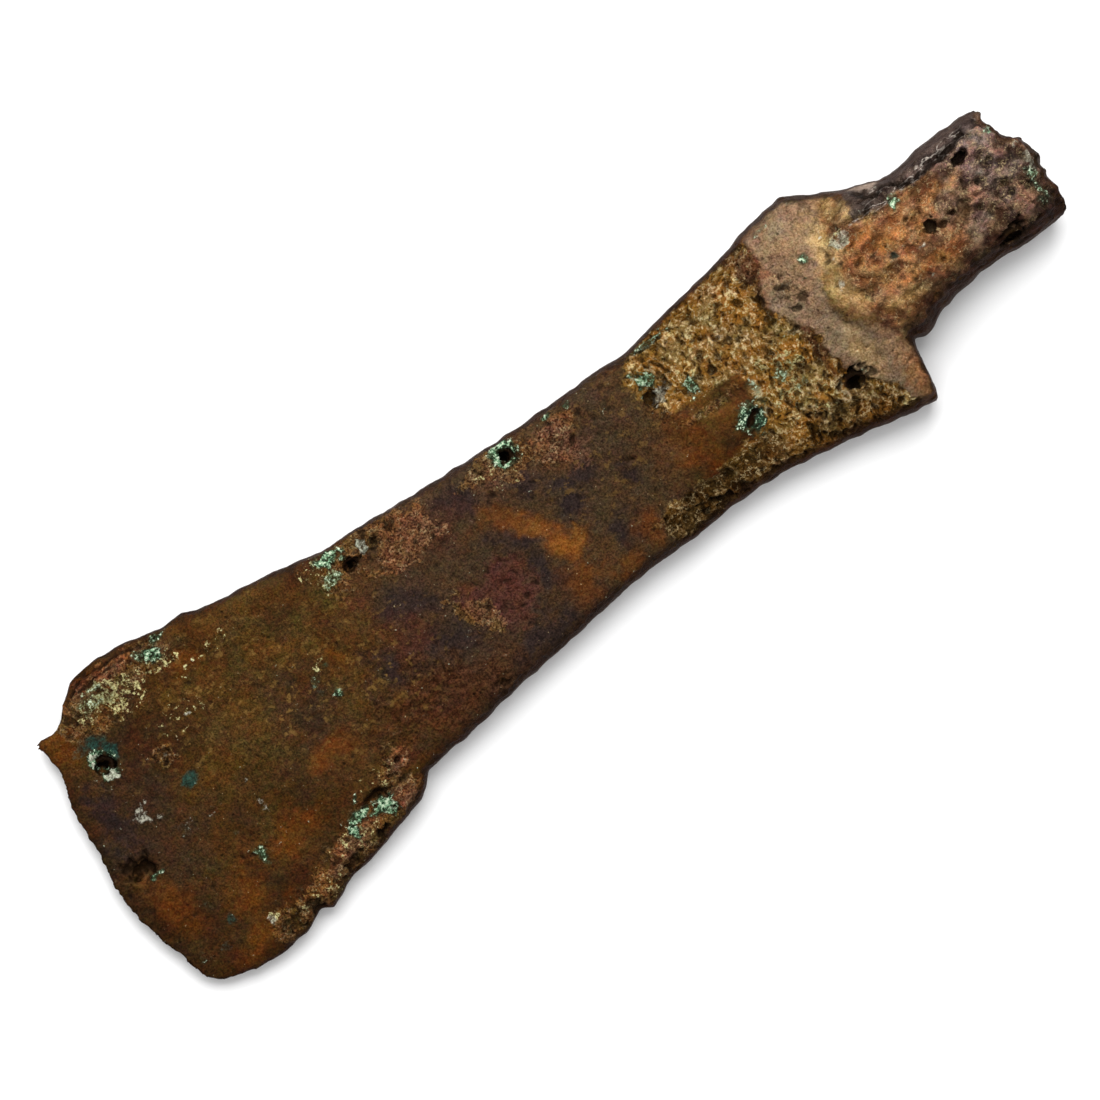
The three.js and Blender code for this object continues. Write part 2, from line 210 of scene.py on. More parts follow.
def within(outline, soft=0.4, torn=0.5, over=on_face):
    """1 inside a ragged outline on the cast face and 0 outside it."""
    reach = np.full(len(x), np.inf)
    inside = np.zeros(len(x), bool)
    for (ax, ay), (bx, by) in zip(outline, outline[1:] + outline[:1]):
        dx, dy = bx - ax, by - ay
        share = np.clip(((x - ax) * dx + (y - ay) * dy) / (dx * dx + dy * dy), 0, 1)
        reach = np.minimum(reach, np.hypot(x - ax - share * dx, y - ay - share * dy))
        inside ^= ((ay > y) != (by > y)) & (x < ax + (y - ay) / (dy or 1) * dx)
    depth = np.where(inside, reach, -reach)
    return smooth(-soft, soft, depth + torn * ragged) * over


def mark(name, *masks):
    """Adds places where a kind of stain, crust or loss shows, or where light or shade is painted."""
    for mask in masks:
        marks[name] = np.maximum(marks.get(name, 0), mask)


# Lost skin: in front of the lugs the cast skin has come away and bares golden crystalline metal,
# rough like broken stone, with a thin dim tail along the lower side.
LOST_SKIN = [
    (20, 12.4), (17.6, 9.5), (17.4, 7), (18.2, 4), (20.5, 2), (25, 1.2), (31, 0.4), (30.5, -3),
    (29.5, -7.5), (22, -8.6), (12, -8.4), (9.5, -10), (10, -13.4), (20, -14), (30, -15),
    (40, -17.6), (48, -19.5), (47, -14.5), (45, -12), (42.8, -9), (42, -6), (42.3, -1),
    (40, 1.5), (39, 5.5), (40.3, 8), (42, 10.5), (42.3, 14.5), (36, 14), (30, 13.2), (26, 12.2),
]
LOST_STEP = 0.22

lost = within(LOST_SKIN, soft=0.3, torn=0.4)
dim_tail = smooth(-7.5, -9.5, y) * smooth(34, 27, x)
nearest, second = grains(1.1, stretch=(0.8, 1.5, 1))
lumps = np.sqrt(np.clip(second - nearest, 0, 1))
folds = 1 - 2.4 * np.abs(hills(1.5, 1, stretch=(0.8, 1.7, 1)))
folds += 0.6 - 1.5 * np.abs(hills(0.75, 1, stretch=(0.8, 1.5, 1)))
crystals = 0.13 * (folds - 0.7) + 0.15 * (lumps - 0.5) + 0.12 * hills(0.6) + 0.07 * hills(3.2, 2)
relief += lost * (crystals * (1 - 0.3 * dim_tail) - LOST_STEP)
mark("lost", lost)
mark("shade", 4 * lost * (1 - lost) * smooth(34, 38, x), 0.55 * patch(67, 5.2, 5, 1, 0, 0.35, 0.7),
     0.5 * patch(72.5, -4.5, 3, 1.6, -25, 0.35, 0.7), 0.4 * patch(79, 0.5, 2, 3, 0), 0.4 * patch(57, 7.5, 3, 1, 0))
mark("reddish", patch(4.6, 8, 2.9, 3.2, 20), 0.5 * patch(-4.5, 10.3, 4.5, 2, -25), patch(40.3, 11.3, 1.8, 3.2, 10), 0.7 * patch(41.3, -4, 0.7, 3), 0.8 * patch(39.6, 7.5, 0.8, 1.6))
mark("dim", dim_tail * on_face, 0.8 * patch(40, -14, 8, 3, -12), 0.6 * patch(40.5, 8, 2, 5),
     0.7 * patch(41.5, -4, 1, 6), 0.5 * patch(34, 12.6, 8, 1, 5))
# Painted highlight: the crests of the crystals are marked here to be painted lighter.
marks["crest_highlight"] = smooth(-0.24, 0.24, crystals) * lost

# Coarse crust: places where corrosion has broken up the skin and left a tan, porous surface.
CRUST = [
    (-59, -21.3, 6, 2.2, 8), (-48, -18.2, 7.5, 3.2, 10), (-41.3, -13.3, 3.2, 1.5, 40),
    (-41.5, -16.8, 2.2, 2, 0), (-66, -21.3, 2, 2.3, 0), (-30.8, 12.6, 2.4, 2.4, 0),
    (-24, 14.3, 7, 2.2, -8), (-20, 11.2, 5, 3.2, 0), (-5.5, 12, 4, 2, 10), (-1.5, 10.2, 3.2, 2.4, 0),
    (5.8, 9.6, 2.8, 2.6, 20), (3.4, 7.4, 2.2, 1.9, 0), (-18.6, -3.4, 1.5, 4.5, 25),
    (-66, 19.6, 8.5, 3.2, 4), (-70, 16.5, 3, 1.5, 0), (-57.5, 20, 3, 2, 0), (-65, 7.6, 1.7, 1.7, 0),
    (25, -1, 4, 0.8, 0), (20, 6, 1.8, 5, 0),
    (11, -9.5, 2, 1.5, 0), (53.5, 6.5, 1.8, 1.6, 0), (43, 5, 1.8, 2, 0), (76, -3, 3, 2, -30),
]
crust = np.max([patch(*oval) for oval in CRUST], axis=0)
relief += crust * (0.2 * hills(1.1, 2) + 0.16 * hills(0.6) + 0.02)
mark("crust", crust * (1 - lost))
burnt = np.maximum(patch(-30, -9.5, 10, 5, -6), patch(-25, -12, 7, 2.5, -10))
relief += burnt * (0.16 * hills(1.3, 2) + 0.05)
mark("burnt", burnt)

# Smooth slate skin, and warmer brown and red bands, where the patina took different colours.
mark("slate", *[patch(*oval, 0.3, 0.7, 1.3) for oval in [
    (-14, -12, 8, 2.3, 8), (-8, 1, 1.5, 3, 20), (-7.4, -5, 1.4, 5.5, 0), (4.6, -7.4, 1.8, 2.5, 0),
    (3.4, 4.2, 3.6, 1.3, 5), (1.2, 0.4, 2.6, 1.8, 30), (-2, 6.8, 3, 1.2, -20), (10.3, -1.6, 1, 1.6, 0),
    (-25, 3, 5, 2.6, -25), (-10.5, 10.5, 2.2, 2.8, 0), (-24, -5, 4, 3.5, -30), (-32, -3, 4, 3, 0),
    (-76.5, 5, 2.5, 6, 0), (-13, 11, 3, 2, 0), (-14, -11.5, 6, 2, 8), (27, -13.5, 3, 1, -8),
]])
mark("slate", 0.5 * patch(-74, 1, 7, 10, 0, 0.3, 0.8), 0.4 * patch(-46, -3, 5, 8, 0, 0.3, 0.8))
mark("orange", *[patch(*oval, 0.3, 0.7, 0.9) for oval in [
    (-2.8, -3.6, 1.9, 3.2, 15), (-5.3, 1.2, 1.4, 3.8, 42), (-4.6, -9.2, 3, 2.6, 0), (-8, 5, 2, 1.2, -40),
    (2, -11.3, 2.2, 1.2, 0), (-46.5, -6.3, 3.5, 1.8, 0), (-77.5, -9.5, 2.2, 4.5, 10),
    (-67.5, -15, 2.4, 3.2, 0), (-57.5, -12, 3.5, 2.6, 0), (-37, 3, 0.8, 1.1, 0),
    (-18.4, -0.8, 1, 2, 0), (-55, 16, 2.2, 2.2, 0), (22, -8.4, 5, 1.2, -8),
    (-76, 17, 3, 3, 0), (-70, -20.5, 5, 1.8, 10), (8, -9.5, 3, 2.5, 0), (20, -5.5, 3, 1, -30),
    (30, -10.5, 2, 1, -10), (-66, 22.9, 6, 0.7, -2), (-45, -18.6, 1.6, 1, 0), (-57, -20.3, 3, 1, 8),
]])
mark("amber", patch(-2.8, -3.8, 1.5, 2.6, 15, 0.3, 0.8, 0.9), 0.6 * patch(-5.3, 1, 1, 3, 42, 0.3, 0.8, 0.9),
     0.35 * patch(23, -3, 7, 3.5, 0, 0.3, 0.8))
mark("olive", 0.9 * patch(-50, 7, 13, 9, -5, 0.25, 0.7), 0.8 * patch(-38, 0, 10, 10, 0, 0.25, 0.8),
     0.5 * patch(10, 3, 12, 8, 0, 0.25, 0.8))
mark("middle", smooth(-36, -22, x + 2 * ragged) * smooth(22, 14, x + ragged) * on_face)
MAROON = [(-19, 0.5), (-19.5, -3), (-17, -7), (-13.5, -9.3), (-11.2, -7), (-9, -4), (-9.2, -0.6),
          (-12, 1.2), (-15.5, -1)]
maroon = within(MAROON, soft=1, torn=0.7)
relief += maroon * (0.1 * hills(1, 2) - 0.12)
mark("maroon", maroon)
mark("red", 0.9 * maroon, *[patch(*oval, 0.3, 0.6) for oval in [
    (-18, 10, 6, 3.4, -10), (-28, -10, 6, 3, -10), (5.4, 9.2, 2.6, 2.3, 20), (-31, 7.8, 1.3, 1.2, 0),
    (-42, -17.2, 1.9, 1.8, 0), (-38, -13, 3, 1.6, 0), (-49, -17.3, 1.2, 0.8, 0), (-53.5, -18.8, 4, 1.2, 10), (45, 3.5, 2, 1, 30), (-66, 22, 6, 1.2, -3),
    (-28, 0, 3, 3, 0),
]])

# Green corrosion: pale powdery malachite on the surface, and darker blue-green in the hollows.
mark("mint", *[strength * patch(*oval, 0, 0.4, 0.6) for *oval, strength in [
    (-68, 20, 3, 2, 0.5), (-57.6, 19.8, 1.4, 1.2, 0.95), (-56, 21.2, 1.6, 0.7, 0.75), (-59.6, 21, 0.8, 1.2, 0.7),
    (-73.2, 13.6, 1.5, 0.7, 1.2), (-73.9, 12.8, 0.7, 1.3, 1.2), (-71.4, 12, 0.5, 1.4, 0.8),
    (-72.8, 10.4, 1.3, 1, 1.2), (-62.8, -11.6, 0.9, 1.3, 0.75), (-76.5, -4.9, 1.3, 0.5, 0.8),
    (-48.8, -15.8, 1.6, 0.8, 1.2), (-45.6, -16.3, 1.6, 1.1, 1.2), (-51, -16.8, 0.7, 1, 1),
    (-48, -13.3, 0.8, 0.7, 0.7), (-44.4, -18, 0.9, 0.8, 1), (-40.7, -0.3, 0.6, 1, 0.85),
    (-42.2, 2.6, 0.8, 1, 0.45), (-39.6, 3.8, 0.4, 0.4, 0.6), (-30.6, 15.3, 2, 1.1, 0.95),
    (-31.5, 12.6, 1.7, 1.5, 0.7), (-28.5, 14.3, 0.7, 1, 0.8), (-25.5, 13.7, 0.7, 1, 1),
    (-2, 11.7, 1.9, 2, 1.1), (-3, 13, 0.8, 0.6, 0.8), (5.8, 12, 0.7, 0.4, 0.9),
    (9, 11.7, 0.9, 0.5, 0.6), (19.7, 7.6, 1.6, 1.5, 1.1), (18.2, 5.8, 0.6, 0.8, 0.8),
    (24.3, 3.1, 1.1, 1.5, 0.9), (23.5, 11.7, 2.8, 0.45, 0.85), (28.3, -5.6, 2.3, 2.2, 0.72),
    (31, -2.7, 1, 1.8, 0.55), (35, -3.4, 1.5, 1.3, 0.7), (37, -6, 1.4, 1, 0.6),
    (38.5, 0, 1, 1, 0.35), (34, -9, 1.2, 1, 0.35), (47.5, 7.2, 0.8, 1, 0.9),
    (52, 15.2, 0.9, 1.1, 1.2), (44.5, 14.2, 1.4, 0.4, 0.5), (62, 6, 0.9, 0.8, 0.9),
    (78.5, 5.8, 1.3, 0.7, 0.9), (79.5, -4.8, 0.7, 2.3, 0.75), (78.6, -6.7, 0.6, 0.7, 0.6),
    (72.5, -8.6, 0.6, 0.3, 0.8), (36.3, 10.5, 0.6, 0.5, 0.5), (-78, -18, 1, 1, 0.3),
    (44.5, -10, 0.5, 0.4, 0.8), (40.6, -10.6, 0.5, 0.3, 0.5), (45.8, 5, 0.5, 0.3, 0.7),
]])
mark("sage", *[strength * patch(*oval, 0, 0.4, 0.6) for *oval, strength in [
    (-70, 18.8, 2.5, 1.6, 0.5), (-66.5, 19.3, 3.5, 2.4, 0.75), (-64, 17.5, 4, 1.5, 0.65),
    (-60.5, 19, 2.5, 1.2, 0.4), (-57.5, 18.2, 2.5, 1, 0.5), (-31.8, 12.8, 1.7, 1.6, 0.8),
    (-31.5, 15.3, 2.5, 1.5, 0.5), (-50, -17.5, 5, 1.5, 0.4), (-43.5, -13, 3, 1.6, 0.35),
    (-59, -21, 4, 1.2, 0.4), (-67, -19.5, 0.8, 0.6, 0.8), (-60, 10.5, 4, 2, 0.25),
    (-52, 15.5, 5, 1, 0.25), (-3, 10.5, 4, 2.5, 0.35), (-40.5, 4.8, 1.2, 1, 0.3),
    (35.5, -4, 3.5, 4.5, 0.65), (30, 8, 9, 4, 0.2), (24, 6, 5, 4, 0.25), (53, 6.5, 1.4, 1.2, 0.7),
    (36, -8, 4, 3, 0.35),
]])
mark("teal", *[strength * patch(*oval, 0, 0.3, 0.6) for *oval, strength in [
    (-72.3, 15.2, 2.5, 1.3, 1), (-70.6, 13.2, 1, 1.7, 1.1), (-64.6, 2.8, 1.6, 1, 1),
    (-72, -16.2, 0.7, 1.1, 0.8), (-75.2, -18.6, 1.2, 0.8, 0.6), (-73.4, -12.6, 0.6, 1, 0.5),
    (-69.5, -1.8, 0.9, 1.6, 0.5), (-64, -2.6, 0.9, 0.8, 0.5), (-49, -15.4, 2.4, 1, 0.6),
    (-45, -17, 2, 1.4, 0.6), (-51, -16.8, 1, 0.8, 0.8), (-62.3, 10.6, 1.4, 0.8, 0.4),
    (-56, 14, 1, 1, 0.4), (-2, 11.7, 1.1, 1.1, 0.9), (23.5, 11.5, 2.8, 0.5, 0.6),
    (24.3, 2.8, 0.9, 1.1, 0.8), (19.6, 8, 0.9, 0.8, 0.4), (28.6, -5.5, 1.9, 1.1, 1),
    (28.6, -7, 1.3, 0.9, 0.9), (31.2, -2.3, 0.8, 1.8, 0.5), (42.8, 5.9, 1.3, 0.7, 0.7),
    (57.5, 0, 1, 0.9, 1.3), (73, 1, 0.7, 0.7, 0.8), (42.3, -15, 1, 0.5, 0.6),
    (-42.5, 1.6, 0.7, 1.4, 0.5), (80.5, -3.6, 0.7, 1.5, 0.5), (-64, -7, 0.7, 0.7, 0.5),
]])
mark("pale", *[strength * patch(*oval, 0, 0.7, 0.8) for *oval, strength in [
    (-73, 3, 1.2, 1, 0.7), (-71, 1.5, 1.2, 0.6, 0.5), (-69, -1.5, 0.9, 1.3, 0.4),
    (-64, -2.5, 1, 0.8, 0.5), (-59, -6, 0.7, 1, 0.6), (-67.5, -19.5, 0.6, 0.5, 0.8),
    (-65, 7.6, 1.2, 1, 0.5), (-72.8, 10.2, 1, 0.8, 1), (-25.5, 13.6, 0.8, 0.9, 1.2), (-73.6, 13.6, 0.9, 0.5, 1),
    (-74, 12.6, 0.4, 0.8, 0.9),
    (20.3, 4.7, 1.5, 0.9, 1), (53.3, 6.5, 1.2, 1.1, 0.9), (81, 2, 0.7, 2, 0.6),
    (-28, 12.3, 0.9, 0.7, 0.6), (-59.5, 10.2, 0.5, 0.4, 0.8), (-54, 15.6, 0.6, 0.5, 0.7),
    (51.3, 8.8, 0.3, 0.7, 0.9), (50.6, 4.2, 0.3, 0.9, 0.8), (52.4, 6.3, 0.7, 0.25, 0.8), (55.3, 6.9, 0.7, 0.3, 0.7),
    (49.3, 1.6, 0.5, 0.7, 0.7), (59.9, -5.6, 0.6, 0.25, 0.8), (61.5, -1.3, 0.6, 0.2, 0.6),
    (67, 7.7, 5, 0.4, 0.35), (62, 9.5, 1.2, 0.5, 0.7), (57.8, 8, 1, 0.8, 0.5),
    (-58.3, -2, 0.4, 0.4, 0.5), (60, -6, 0.5, 0.2, 0.7), (77, -4.5, 1.2, 0.4, 0.5),
    (81, -1, 0.6, 1.4, 0.7), (80.2, 3.6, 1, 0.5, 0.7), (78.3, 3.5, 0.5, 0.9, 0.4),
]])
relief += 0.16 * np.clip(marks["mint"], 0, 1) * (0.5 + hills(0.7, 2))

# Corrosion pits: each eaten into the skin as an uneven egg with a slightly raised lip.
PITS = [
    (-72.5, 12.2, 1.3, 0.75, -55, 1.5), (-77.6, -2.6, 2.2, 1.2, -15, 0.6),
    (-65, 7.6, 1.2, 1, 0, 0.3), (-28.1, 12.9, 1.1, 0.65, 0, 1.1), (-23.8, 13.3, 0.6, 0.6, 0, 0.5),
    (-24.5, 15.3, 0.7, 0.5, 20, 0.5), (-21, 13.5, 0.9, 0.6, 10, 0.5), (-45.6, -14.7, 1, 0.45, 5, 0.5),
    (-47.2, -19.3, 1.2, 0.45, 8, 0.9), (-53.5, -20.3, 1.3, 0.7, 10, 0.8),
    (-41.3, -15.3, 1.5, 0.4, 0, 0.4), (-44.9, -16.6, 0.6, 0.25, 10, 0.4), (-44.3, -17.8, 0.4, 0.2, 20, 0.4),
    (-61.7, -21.8, 0.9, 1.1, 0, 0.5), (-65.3, -21.6, 1.4, 1.5, 0, 0.45),
    (-40.2, -12.7, 0.5, 0.5, 0, 0.6), (-42.3, -13.9, 0.5, 0.4, 0, 0.4),
    (-2, 11.5, 0.75, 0.7, 0, 1.3), (6.6, 7.3, 0.9, 0.4, 45, 0.6), (18.6, 5.1, 0.85, 0.6, 40, 0.5),
    (21, 4.7, 0.4, 0.3, 0, 0.4), (27.7, 3, 0.5, 0.5, 0, 0.6), (23.4, 11.3, 2.4, 0.3, -2, 0.5),
    (28.6, -5.5, 1.5, 0.35, 25, 0.7), (28, -7, 0.3, 0.3, 0, 0.4), (43, -9.8, 1.4, 1.1, 15, 1.3),
    (45.5, -11, 0.6, 0.6, 0, 0.6), (46.1, -16.7, 0.6, 0.5, 0, 0.7), (35.6, -14.5, 0.7, 0.5, 0, 0.7),
    (34.6, -8.6, 0.5, 0.4, 0, 0.5), (36.7, 11.2, 0.4, 0.5, 0, 0.6), (38.8, 9.6, 0.6, 0.4, 0, 0.6),
    (38.8, 6.5, 0.6, 1.1, 0, 0.7), (40.3, 0.4, 0.7, 0.4, 0, 0.6), (31, 6.2, 0.7, 0.3, 0, 0.5),
    (42.5, 6, 0.9, 0.35, -40, 0.5), (44, 3.2, 0.6, 0.6, 0, 0.4), (42.4, 2.4, 0.5, 0.4, 0, 0.4),
    (18.3, -12, 2.2, 0.35, -22, 0.7), (15.2, -12.1, 0.6, 0.4, 0, 0.4), (-21.5, -13.6, 1.3, 0.4, -15, 0.4),
    (57.5, 0, 0.7, 0.6, 0, 0.35), (64.2, 0.2, 0.8, 0.9, 0, 1), (73, 5, 1.1, 0.55, 10, 0.9),
    (68.6, -1.2, 1.4, 1.2, 20, 0.5), (67.6, -0.4, 0.5, 0.4, 0, 0.5), (72.4, -8, 1.8, 1, 0, 0.9),
    (65.6, -0.9, 0.5, 0.35, 0, 0.5), (69.4, -3.4, 0.5, 0.4, 0, 0.5), (71, -2.2, 0.35, 0.3, 0, 0.4),
    (74.3, -7.6, 0.6, 0.8, 0, 0.3), (62.6, -4.6, 0.5, 0.35, 0, 0.35), (58.2, -3.4, 0.4, 0.3, 0, 0.3),
    (65.5, 6, 0.5, 0.3, 20, 0.35), (55.2, 1.8, 0.35, 0.3, 0, 0.3), (71.2, 2.3, 0.4, 0.35, 0, 0.35),
    (76.2, 2.6, 0.5, 0.4, 0, 0.4), (61.8, 2.9, 0.4, 0.3, 0, 0.3), (53.2, 8.2, 0.8, 0.5, 20, 0.3), (78, -2.2, 0.9, 0.7, 0, 0.3),
    (77.8, -3.8, 1, 0.6, 0, 0.3), (75.8, -1.4, 0.7, 0.6, 0, 0.4), (65, 3.9, 0.7, 0.4, 30, 0.3),
    (58, 7.2, 0.6, 0.3, 60, 0.3), (11, 0.3, 1, 0.2, -30, 0.25), (81.5, -6.6, 0.6, 1.2, 0, 0.3),
    (52.2, -1.6, 0.4, 0.3, 0, 0.2), (73, 0.9, 0.5, 0.5, 0, 0.25), (47.2, -7.8, 0.3, 0.25, 0, 0.3),
    (80.6, -8.2, 0.8, 0.7, 0, 0.4), (44.9, -9.4, 0.4, 0.3, 0, 0.4), (42.5, -15, 0.6, 0.4, 0, 0.5),
]
uneven = 0.3 * ragged + 0.4 * hills(0.9, 2)
for px, py, half_x, half_y, turn, depth in PITS:
    c, s = math.cos(math.radians(turn)), math.sin(math.radians(turn))
    along = ((x - px) * c + (y - py) * s) / half_x
    across = ((y - py) * c - (x - px) * s) / half_y
    away = np.hypot(along, across)
    bowl = smooth(1.5, 0.5, away + uneven) * on_face
    lip = smooth(2.3, 1.3, away + uneven) * on_face - bowl
    relief += 0.06 * lip - depth * bowl
    # Pit floors are painted dark, the deeper the darker: dark corrosion and painted shade.
    mark("pit", bowl * min(1, max(0.15, depth - 0.25)))

# Pinholes: gas bubbles in the metal that wear has opened, thickest in the crust.
nearest, second = grains(1.9)
holes = smooth(0.3, 0.12, nearest + 0.08 * hills(0.9)) * on_face * smooth(-0.1, 0.5, hills(11) + crust)
relief -= 0.22 * holes
mark("pit", 0.5 * holes)

# Folded skin on the tang: metal that ran over in the casting lies as a thin lap along its upper
# side, dark slate, with an open line under its lip and one pale flap.
LAP = [(56, 7), (60, 6.6), (63, 6.6), (66, 6.2), (71, 6.4), (76, 7), (78, 7.4), (79, 12),
       (60, 13), (57.5, 12), (56.5, 9)]
LAP_LINE = [(57.9, 10.9), (58.6, 9.9), (59.6, 8.9), (60.8, 8.4), (62.2, 8.9), (63.2, 8.8), (64.2, 7.4),
            (66.6, 6.8), (70, 6.8), (73.1, 7.1), (75.2, 7.8)]
LAP_LIP = [(59.6, 9.7), (61, 9.1), (62.6, 9.5), (64.6, 8.2), (67, 7.8), (70, 7.9), (73, 8.1)]
FLAP = [(57.6, 12.3), (58.8, 10.4), (60.2, 9.3), (61.4, 9.3), (62.6, 9.9), (64, 9.2), (64.4, 9.8),
        (62, 10.6), (60, 11.7)]


def crease(line, width):
    """1 along a line on the cast face, fading to 0 at this distance from it."""
    reach = np.full(len(x), np.inf)
    for (ax, ay), (bx, by) in zip(line, line[1:]):
        dx, dy = bx - ax, by - ay
        share = np.clip(((x - ax) * dx + (y - ay) * dy) / (dx * dx + dy * dy), 0, 1)
        reach = np.minimum(reach, np.hypot(x - ax - share * dx, y - ay - share * dy))
    return smooth(width, 0, reach + 0.12 * ragged) * on_face


lap = within(LAP, soft=0.4, torn=0.3, over=smooth(0.05, 0.5, facing[:, 2]))
folded = crease(LAP_LINE, 0.7)
relief += lap * (0.12 * hills(2, 2, stretch=(1.6, 0.7, 1)) - 0.05) - 0.5 * folded + 0.2 * crease(LAP_LIP, 1)
mark("lap", lap)
# Painted shadow: the open line under the lap's lip is painted dark.
mark("pit", 0.9 * crease(LAP_LINE, 0.5))
flap = within(FLAP, soft=0.25, torn=0.2, over=smooth(0.15, 0.32, facing[:, 2]))
relief += 0.12 * flap
mark("flap", flap)
# Painted shade below the flap.
mark("pit", 0.5 * patch(58.6, 7.9, 1.8, 0.7, 0))

# Flaking side of the blade near the broken corner: a red layer lifts along an open line.
FLAKE_LINES = [[(-70.5, 22.2), (-67.6, 23.4), (-64.5, 22.9), (-61.5, 23), (-58.5, 21.8)],
               [(-69, 21.9), (-66, 22.1), (-62, 22)], [(-70, 24), (-67, 23.8)]]
# The open lines are painted dark, partly as painted shade.
for line in FLAKE_LINES:
    relief -= 0.4 * crease(line, 0.5)
    mark("pit", 0.6 * crease(line, 0.4))

# Shoulder and tang: the skin is kept there, mauve and tan, more golden on the slope up to the
# tang, partly as a painted highlight, and brown with rust red behind it.
SHOULDER = [(42.3, 15.5), (42, 10.5), (40.3, 8), (39, 5.5), (40, 1.5), (42.3, -1), (42, -6), (42.8, -9),
            (45, -12), (47, -14.5), (48, -20), (53, -20), (53, -11), (50, -7), (47, -3), (46.5, 2),
            (49.5, 6), (53, 11), (56, 14), (51, 18)]
mark("shoulder", within(SHOULDER, soft=0.5, torn=0.4))
mark("tang", smooth(47, 52, x - 0.03 * y * y) * on_face)
mark("butt", smooth(64, 74, x + 2 * hills(5)) * on_face)
mark("rust", *[patch(*oval, 0.3, 0.7) for oval in [
    (53.5, 3.5, 4, 2.5, 0), (57.5, 3, 6, 3, -5), (53, -5.2, 3, 1.2, -10), (61, -4.2, 5, 1, 0),
    (50.3, -16, 1.8, 4, 0), (67, 3.5, 3, 1.2, 0),
]])
# Painted shade over a brown stain: the tang's lower slope, facing away from the lamp, is painted darker.
mark("underslope_brown_and_shade", smooth(-5.2, -9, y + 0.5 * ragged) * smooth(50, 58, x))
# Gold tint, partly a painted highlight: the slope up to the tang and the bowls of ring pits are painted lighter.
mark("gold_and_highlight", *[strength * patch(*oval, 0.3, 0.75) for *oval, strength in [
    (50.2, 6, 1.5, 5, -14, 1), (49, -0.5, 1.6, 4, 6, 0.8), (46, -8, 1.6, 4, 0, 0.5), (55.5, 9.5, 3, 2.5, -45, 0.5),
    (68.8, -1.4, 1, 0.9, 20, 0.5), (75.8, -1.7, 0.6, 0.4, 0, 0.35), (56, -5.8, 3.5, 0.9, -15, 0.5),
]])

# The relief goes on along the surface: only inwards on the back, so that it still lies flat.
on_sides = (1 - on_face) * (1 - on_back)
hollow = relief + LOST_STEP * lost
ends = smooth(-78, -81, x) + smooth(77, 80, x)
tang = smooth(47, 52, x)
cobbles = 0.23 * hills(2.2, 2, stretch=(1.3, 0.9, 1)) - 0.12 * np.abs(hills(0.9, 2)) - 0.1
relief += tang * cobbles * (1 - 0.7 * lap)
# Painted highlight: the tops of the tang's cobbles are marked to be painted lighter.
marks["crest_highlight"] = np.maximum(marks["crest_highlight"], tang * smooth(-0.29, 0.11, cobbles))
relief = (relief + swell) * on_face + on_sides * (0.05 * hills(1.8, 3) + 0.2 * ends * hills(2.6, 3))
relief += 0.05 * on_back * (hills(6) - 1)
# Dark rim: the walls are painted darker, partly a darker patina and partly painted shade, stronger where they face
# away from the lamp; the cutting edge is darker too.
shaded = smooth(-0.2, 0.2, -facing[:, 1])
bend = facing[:, 2] + 0.04 * ragged
mark("dark_rim_and_shade", (smooth(0.7, 0.25, bend) * (1 - shaded) + smooth(0.96, 0.55, bend) * shaded) * (1 - on_back),
     0.7 * smooth(-78.5, -81.5, x + 0.8 * ragged - 0.004 * y * y))
moved = place + facing * relief[:, None]
moved[:, 0] += 0.2 * on_face * hills(1.5, 2)
moved[:, 1] += 0.15 * on_face**2 * hills(1.4, 2)
moved[:, 2] = np.maximum(moved[:, 2], 0)
axe.data.vertices.foreach_set("co", (moved * METRES).astype(np.float32).ravel())
axe.data.update()

# Painted shade: the hollows of the relief are marked to be darkened in the bronze's colour.
marks["hollow"] = smooth(0.02, -0.4, hollow)
for name in ("mint", "teal", "pale", "sage"):
    marks[name] = marks[name] * (1 - np.clip(1.4 * marks["pit"], 0, 1))
for name, mask in marks.items():
    layer = axe.data.attributes.new(name, "FLOAT", "POINT")
    layer.data.foreach_set("value", np.clip(mask, 0, 1).astype(np.float32))
axe.data.calc_loop_triangles()
apply("DECIMATE", ratio=TRIANGLES / len(axe.data.loop_triangles))
axe.data.shade_smooth()


class Wire:
    """A socket in the bronze's shader. Sums, differences and products of wires add Math nodes."""

    tree = None

    def __init__(self, socket):
        self.socket = socket

    @classmethod
    def node(cls, kind, settings, sockets, output=0):
        made = cls.tree.nodes.new(kind)
        for name, value in settings.items():
            setattr(made, name, value)
        for key, value in sockets.items():
            if isinstance(value, Wire):
                cls.tree.links.new(value.socket, made.inputs[key])
            else:
                made.inputs[key].default_value = value
        return cls(made.outputs[output])

    @classmethod
    def math(cls, operation, first, second):
        return cls.node("ShaderNodeMath", {"operation": operation}, {0: first, 1: second})

    def __add__(self, other):
        return self.math("ADD", self, other)

    def __sub__(self, other):
        return self.math("SUBTRACT", self, other)

    def __rsub__(self, other):
        return self.math("SUBTRACT", other, self)

    def __mul__(self, other):
        return self.math("MULTIPLY", self, other)

    __radd__ = __add__
    __rmul__ = __mul__


STUDIO_GAIN = 1.14  # how much more light the axe head gets than it would give back as painted


def paint(red, green, blue):
    """A colour given as it shows on a screen, from 0 to 255, for a shader's socket."""
    shown = np.array([red, green, blue]) / 255
    light = np.where(shown <= 0.04045, shown / 12.92, ((shown + 0.055) / 1.055) ** 2.4)
    return (*(light / STUDIO_GAIN), 1)


def speckle(wave, detail=2, roughness=0.6, over=None):
    """Shader noise whose lumps are this many millimetres apart."""
    return Wire.node("ShaderNodeTexNoise", {}, {
        "Vector": over or surface, "Scale": 1 / (wave * METRES), "Detail": detail, "Roughness": roughness,
    })


